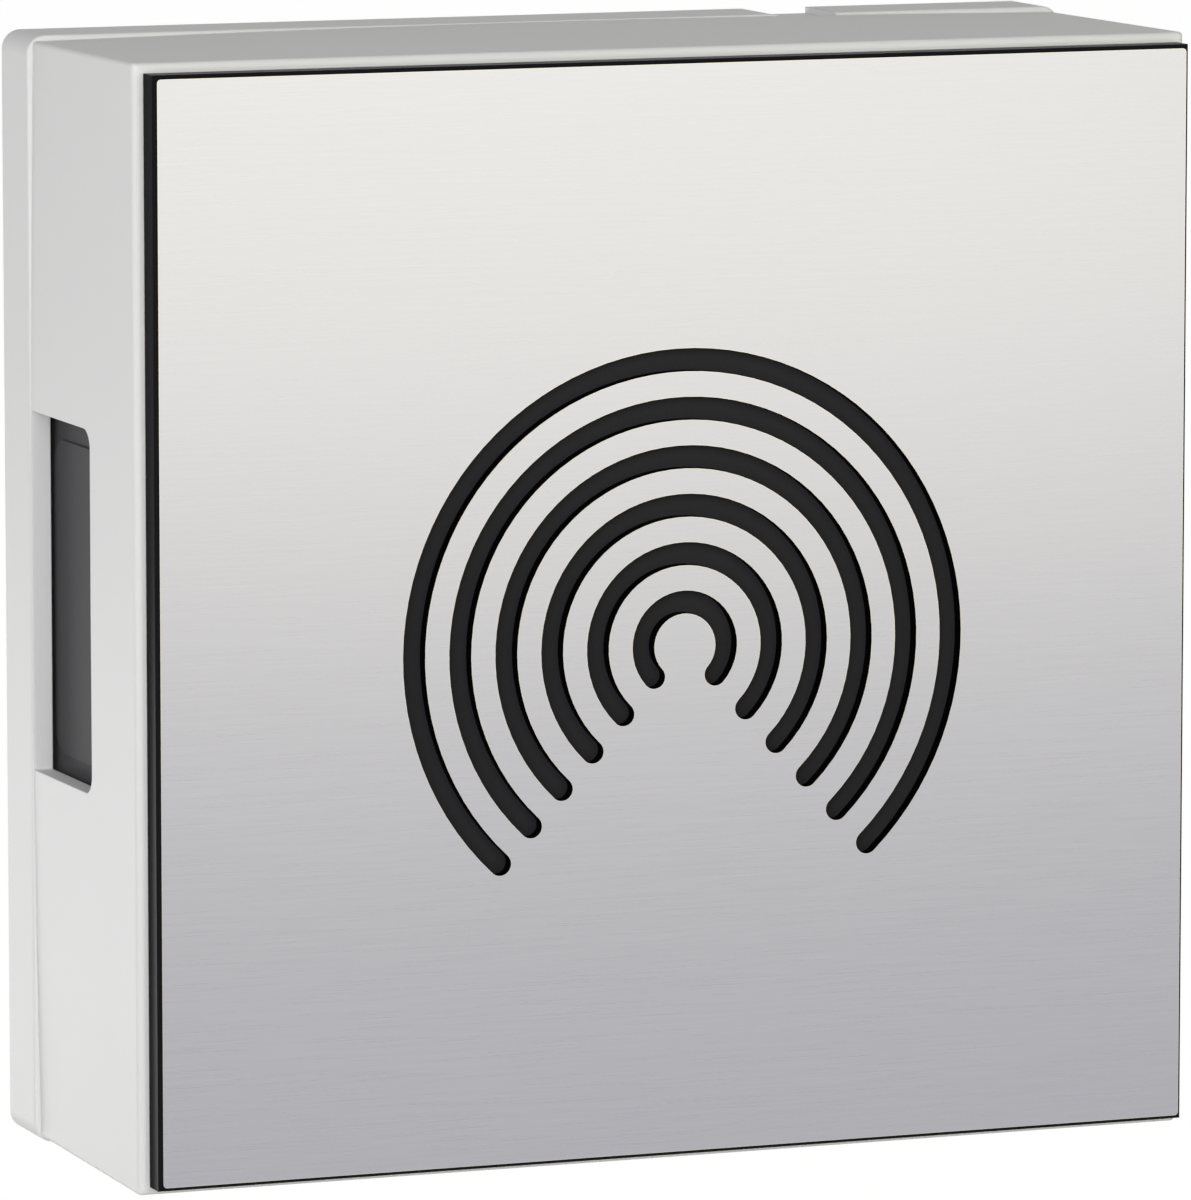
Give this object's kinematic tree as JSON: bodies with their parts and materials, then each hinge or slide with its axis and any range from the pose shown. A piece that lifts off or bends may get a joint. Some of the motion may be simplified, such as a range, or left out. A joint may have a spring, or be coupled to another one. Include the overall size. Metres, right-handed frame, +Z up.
{
  "type": "door chime",
  "caption": "Square wall-mounted door chime: white box cover with engraved metal front, over a solenoid whose plunger strikes tone bars.",
  "frame": {"origin": "centre of the chime's back, on the wall", "axes": "+X to the right as seen from the room, +Y into the wall, +Z up"},
  "size_m": [0.145, 0.057, 0.145],
  "materials": {
    "cover_abs": "moulded ABS, very fine spark texture, satin",
    "panel_black": "matt black engraving laminate core",
    "panel_foil": "fine horizontal brushing, satin",
    "foam_tape": "closed-cell foam tape",
    "soft_iron": "turned soft iron",
    "nylon_natural": "natural nylon",
    "base_abs": "moulded dark grey ABS",
    "rubber_black": "matt rubber",
    "resonator_abs": "moulded dark grey ABS",
    "bar_steel": "zinc-plated spring steel strip",
    "zinc_steel": "bright zinc plate",
    "bobbin_nylon": "natural glass-filled nylon",
    "copper_wire": "enamelled copper wire, laid in turns",
    "tinned_brass": "tinned",
    "spring_steel": "drawn music wire",
    "terminal_nylon": "moulded white nylon",
    "clamp_brass": "nickel-free machined brass",
    "lead_pvc": "PVC insulated hook-up wire"
  },
  "bodies": {
    "base": {"base_plate": "base_abs", "cable_grommet": "rubber_black", "resonator_left": "resonator_abs", "resonator_right": "resonator_abs", "tone_bar_low": "bar_steel", "tone_bar_high": "bar_steel", "bar_grommets": "rubber_black", "bar_retainers": "zinc_steel", "coil_bobbin": "bobbin_nylon", "coil_winding": "copper_wire", "solder_pins": "tinned_brass", "coil_yoke": "zinc_steel", "return_spring": "spring_steel", "buffer_spring": "spring_steel", "terminal_block": "terminal_nylon", "terminal_clamps": "clamp_brass", "terminal_screws": "zinc_steel", "block_screws": "zinc_steel", "resonator_screws": "zinc_steel", "yoke_screws": "zinc_steel", "coil_lead_left": "lead_pvc", "coil_lead_right": "lead_pvc"},
    "cover": {"cover_shell": "cover_abs", "front_panel_core": "panel_black", "front_panel_face": "panel_foil", "panel_tape": "foam_tape"},
    "plunger": {"plunger_core": "soft_iron", "striker_left": "nylon_natural", "striker_right": "nylon_natural", "buffer_collar": "nylon_natural"}
  },
  "joints": [
    {"name": "cover_pull_off", "type": "slide", "parent": "base", "child": "cover", "axis": [0, -1, 0], "range_m": [0, 0.06]},
    {"name": "plunger_slide", "type": "slide", "parent": "base", "child": "plunger", "axis": [1, 0, 0], "range_m": [-0.0019, 0.0059], "stiffness_N_per_m": 80, "deforming": ["return_spring", "buffer_spring"]}
  ]
}
